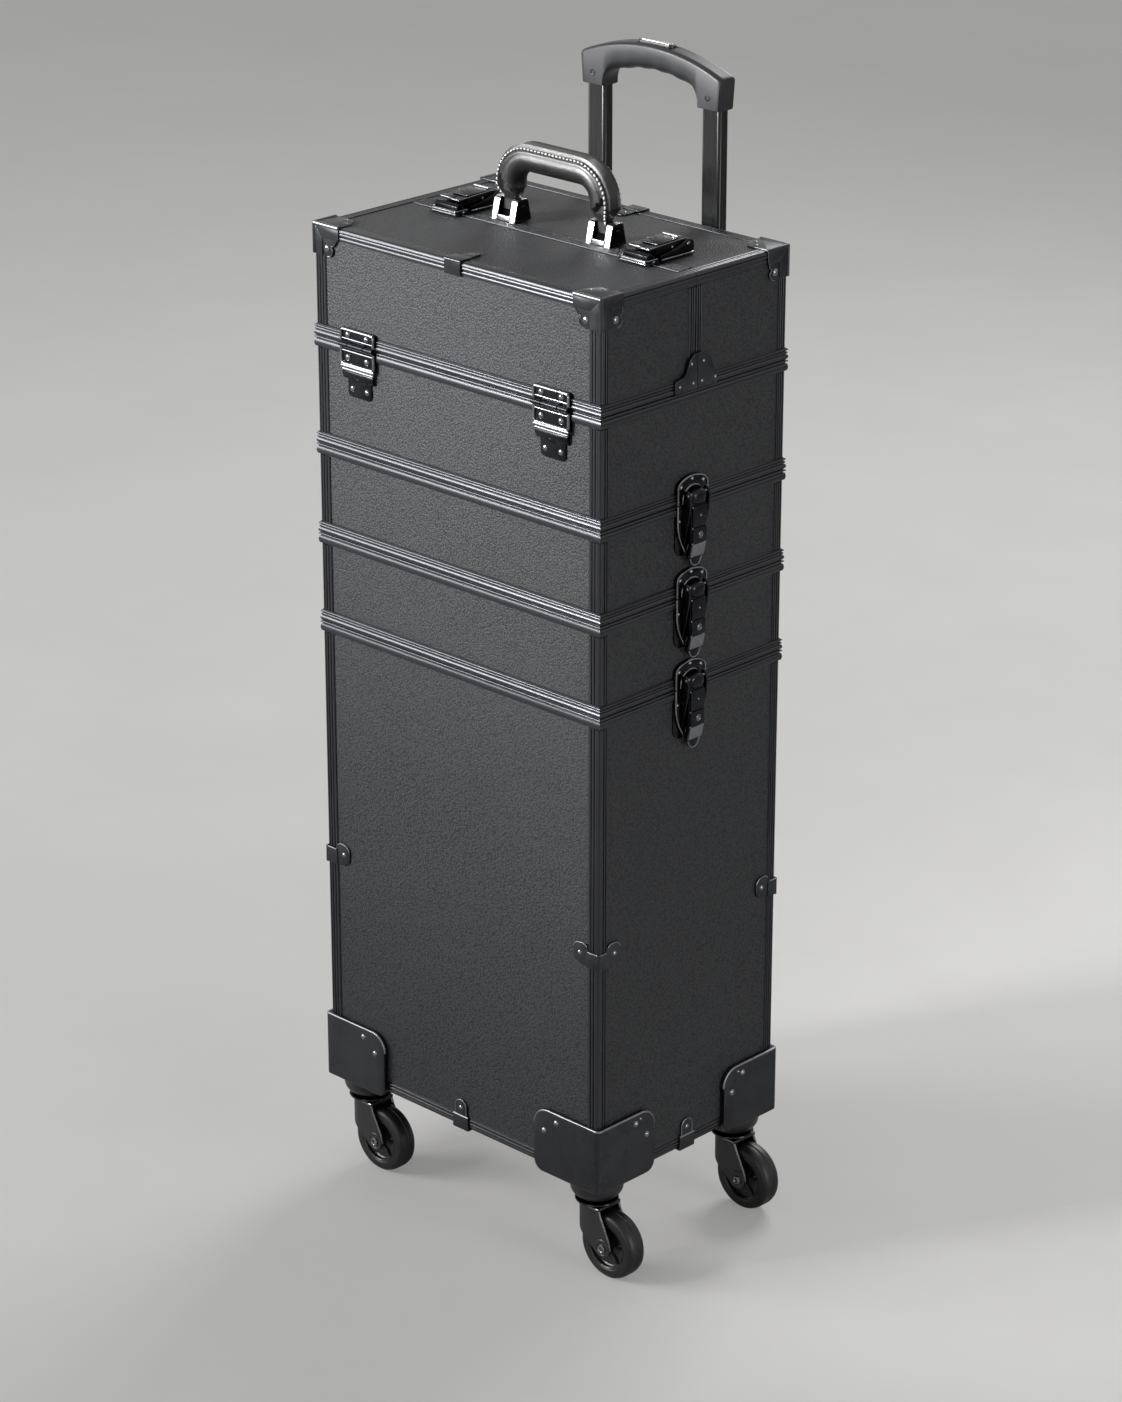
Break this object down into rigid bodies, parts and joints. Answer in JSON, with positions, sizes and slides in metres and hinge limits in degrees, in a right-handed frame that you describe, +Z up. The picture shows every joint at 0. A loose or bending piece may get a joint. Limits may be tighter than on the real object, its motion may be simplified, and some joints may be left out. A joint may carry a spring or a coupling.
{
  "type": "rolling storage case",
  "caption": "Tall rolling storage case: a deep bin on swivel casters, stacked trays, a top case with two hinged lids, side and top latches, carry handle and telescopic trolley handle.",
  "frame": {"origin": "on the floor, under the middle of the whole envelope", "axes": "+Z up, front of the case toward -Y, casters trail toward +X"},
  "size_m": [0.3788, 0.2653, 1.0478],
  "materials": {
    "boards": "pebble-grain black skin over board",
    "extrusion": "black anodised extrusion",
    "hardware": "satin black pressed steel",
    "rivets": "black nickel",
    "latch_metal": "glossy black nickel",
    "caster_plastic": "black moulded plastic",
    "tyre": "dark tread",
    "tubes": "satin black tube",
    "grip_plastic": "dark grey moulding",
    "bright": "polished",
    "leather": "black, stitched",
    "steel": "zinc plated",
    "tray_plastic": "moulded organiser"
  },
  "bodies": {
    "bin": {"bin_panels": "boards", "bin_frame": "extrusion", "corner_brackets": "hardware", "edge_clips": "hardware", "bin_rivets": "rivets", "caster_seats": "caster_plastic", "bin_latch_bases": "latch_metal", "trolley_outer_tubes": "tubes", "trolley_saddles": "grip_plastic"},
    "trolley_middle_stage": {"trolley_middle_tubes": "tubes"},
    "trolley_upper_stage": {"trolley_inner_tubes": "tubes", "trolley_grip": "grip_plastic"},
    "trolley_release": {"trolley_button": "grip_plastic"},
    "lower_tray": {"lower_tray_panels": "boards", "lower_tray_frame": "extrusion", "lower_tray_latch_plates": "latch_metal"},
    "upper_tray": {"upper_tray_panels": "boards", "upper_tray_frame": "extrusion", "upper_tray_latch_plates": "latch_metal"},
    "top_case": {"top_case_panels": "boards", "top_case_frame": "extrusion", "top_case_latch_plates": "latch_metal", "top_case_hinge_leaves": "latch_metal", "arm_studs": "steel"},
    "front_lid": {"front_lid_panels": "boards", "front_lid_frame": "extrusion", "front_lid_corners": "hardware", "front_lid_hinge_leaves": "latch_metal", "front_lid_catches": "latch_metal"},
    "rear_lid": {"rear_lid_panels": "boards", "rear_lid_frame": "extrusion", "rear_lid_corners": "hardware", "rear_lid_hinge_leaves": "latch_metal", "top_latch_bases": "latch_metal", "handle_brackets": "bright"},
    "front_link": {"front_arms": "steel"},
    "front_organizer": {"front_inner_tray": "tray_plastic"},
    "rear_link": {"rear_arms": "steel"},
    "rear_organizer": {"rear_inner_tray": "tray_plastic"},
    "handle": {"carry_handle": "leather"},
    "top_latch_right": {"top_lever_right": "latch_metal"},
    "top_latch_left": {"top_lever_left": "latch_metal"},
    "caster_front_right": {"caster_fork_front_right": "caster_plastic"},
    "caster_front_right_roller": {"caster_wheel_front_right": "tyre"},
    "caster_front_left": {"caster_fork_front_left": "caster_plastic"},
    "caster_front_left_roller": {"caster_wheel_front_left": "tyre"},
    "caster_rear_right": {"caster_fork_rear_right": "caster_plastic"},
    "caster_rear_right_roller": {"caster_wheel_rear_right": "tyre"},
    "caster_rear_left": {"caster_fork_rear_left": "caster_plastic"},
    "caster_rear_left_roller": {"caster_wheel_rear_left": "tyre"},
    "lower_latch_right": {"lower_lever_right": "latch_metal"},
    "lower_latch_left": {"lower_lever_left": "latch_metal"},
    "middle_latch_right": {"middle_lever_right": "latch_metal"},
    "middle_latch_left": {"middle_lever_left": "latch_metal"},
    "upper_latch_right": {"upper_lever_right": "latch_metal"},
    "upper_latch_left": {"upper_lever_left": "latch_metal"}
  },
  "joints": [
    {"name": "caster_front_right_swivel", "type": "hinge", "parent": "bin", "child": "caster_front_right", "pos_m": [0.13845, -0.10205, 0.06], "axis": [0, 0, 1], "continuous": true},
    {"name": "caster_front_right_roll", "type": "hinge", "parent": "caster_front_right", "child": "caster_front_right_roller", "pos_m": [0.15845, -0.10205, 0.031], "axis": [0, 1, 0], "continuous": true},
    {"name": "caster_front_left_swivel", "type": "hinge", "parent": "bin", "child": "caster_front_left", "pos_m": [-0.15255, -0.10205, 0.06], "axis": [0, 0, 1], "continuous": true},
    {"name": "caster_front_left_roll", "type": "hinge", "parent": "caster_front_left", "child": "caster_front_left_roller", "pos_m": [-0.13255, -0.10205, 0.031], "axis": [0, 1, 0], "continuous": true},
    {"name": "caster_rear_right_swivel", "type": "hinge", "parent": "bin", "child": "caster_rear_right", "pos_m": [0.13845, 0.07695, 0.06], "axis": [0, 0, 1], "continuous": true},
    {"name": "caster_rear_right_roll", "type": "hinge", "parent": "caster_rear_right", "child": "caster_rear_right_roller", "pos_m": [0.15845, 0.07695, 0.031], "axis": [0, 1, 0], "continuous": true},
    {"name": "caster_rear_left_swivel", "type": "hinge", "parent": "bin", "child": "caster_rear_left", "pos_m": [-0.15255, 0.07695, 0.06], "axis": [0, 0, 1], "continuous": true},
    {"name": "caster_rear_left_roll", "type": "hinge", "parent": "caster_rear_left", "child": "caster_rear_left_roller", "pos_m": [-0.13255, 0.07695, 0.031], "axis": [0, 1, 0], "continuous": true},
    {"name": "lower_tray_lift", "type": "slide", "parent": "bin", "child": "lower_tray", "axis": [0, 0, 1], "range_m": [0, 0.12]},
    {"name": "upper_tray_lift", "type": "slide", "parent": "lower_tray", "child": "upper_tray", "axis": [0, 0, 1], "range_m": [0, 0.12]},
    {"name": "top_case_lift", "type": "slide", "parent": "upper_tray", "child": "top_case", "axis": [0, 0, 1], "range_m": [0, 0.12]},
    {"name": "front_lid_hinge", "type": "hinge", "parent": "top_case", "child": "front_lid", "pos_m": [-0.00705, -0.13035, 0.804], "axis": [1, 0, 0], "range_deg": [0, 100]},
    {"name": "rear_lid_hinge", "type": "hinge", "parent": "top_case", "child": "rear_lid", "pos_m": [-0.00705, 0.10525, 0.804], "axis": [-1, 0, 0], "range_deg": [0, 6]},
    {"name": "front_link_pivot", "type": "hinge", "parent": "top_case", "child": "front_link", "pos_m": [-0.00705, -0.08455, 0.796], "axis": [1, 0, 0], "range_deg": [0, 100]},
    {"name": "front_organizer_pivot", "type": "hinge", "parent": "front_link", "child": "front_organizer", "pos_m": [-0.00705, -0.04121, 0.82986], "axis": [1, 0, 0], "range_deg": [-100, 0]},
    {"name": "rear_link_pivot", "type": "hinge", "parent": "top_case", "child": "rear_link", "pos_m": [-0.00705, 0.05945, 0.796], "axis": [-1, 0, 0], "range_deg": [0, 6]},
    {"name": "rear_organizer_pivot", "type": "hinge", "parent": "rear_link", "child": "rear_organizer", "pos_m": [-0.00705, 0.01611, 0.82986], "axis": [-1, 0, 0], "range_deg": [-6, 0]},
    {"name": "handle_pivot", "type": "hinge", "parent": "rear_lid", "child": "handle", "pos_m": [-0.00705, -0.00105, 0.9165], "axis": [-1, 0, 0], "range_deg": [0, 80]},
    {"name": "top_latch_right_pivot", "type": "hinge", "parent": "rear_lid", "child": "top_latch_right", "pos_m": [0.10495, 0.02445, 0.9124], "axis": [-1, 0, 0], "range_deg": [0, 100]},
    {"name": "top_latch_left_pivot", "type": "hinge", "parent": "rear_lid", "child": "top_latch_left", "pos_m": [-0.11905, 0.02445, 0.9124], "axis": [-1, 0, 0], "range_deg": [0, 100]},
    {"name": "lower_latch_right_pivot", "type": "hinge", "parent": "bin", "child": "lower_latch_right", "pos_m": [0.17085, -0.01655, 0.549], "axis": [0, -1, 0], "range_deg": [0, 110]},
    {"name": "lower_latch_left_pivot", "type": "hinge", "parent": "bin", "child": "lower_latch_left", "pos_m": [-0.18495, -0.01655, 0.549], "axis": [0, 1, 0], "range_deg": [0, 110]},
    {"name": "middle_latch_right_pivot", "type": "hinge", "parent": "lower_tray", "child": "middle_latch_right", "pos_m": [0.17085, -0.01655, 0.632], "axis": [0, -1, 0], "range_deg": [0, 110]},
    {"name": "middle_latch_left_pivot", "type": "hinge", "parent": "lower_tray", "child": "middle_latch_left", "pos_m": [-0.18495, -0.01655, 0.632], "axis": [0, 1, 0], "range_deg": [0, 110]},
    {"name": "upper_latch_right_pivot", "type": "hinge", "parent": "upper_tray", "child": "upper_latch_right", "pos_m": [0.17085, -0.01655, 0.715], "axis": [0, -1, 0], "range_deg": [0, 110]},
    {"name": "upper_latch_left_pivot", "type": "hinge", "parent": "upper_tray", "child": "upper_latch_left", "pos_m": [-0.18495, -0.01655, 0.715], "axis": [0, 1, 0], "range_deg": [0, 110]},
    {"name": "trolley_lower_stage_slide", "type": "slide", "parent": "bin", "child": "trolley_middle_stage", "axis": [0, 0, 1], "range_m": [-0.22, 0]},
    {"name": "trolley_upper_stage_slide", "type": "slide", "parent": "trolley_middle_stage", "child": "trolley_upper_stage", "axis": [0, 0, 1], "range_m": [-0.22, 0]},
    {"name": "release_button_press", "type": "slide", "parent": "trolley_upper_stage", "child": "trolley_release", "axis": [0, 0, 1], "range_m": [-0.003, 0], "stiffness_N_per_m": 600}
  ],
  "couplings": [
    {"joint": "front_link_pivot", "follows": "front_lid_hinge", "ratio": 1},
    {"joint": "front_organizer_pivot", "follows": "front_lid_hinge", "ratio": -1},
    {"joint": "rear_link_pivot", "follows": "rear_lid_hinge", "ratio": 1},
    {"joint": "rear_organizer_pivot", "follows": "rear_lid_hinge", "ratio": -1}
  ]
}
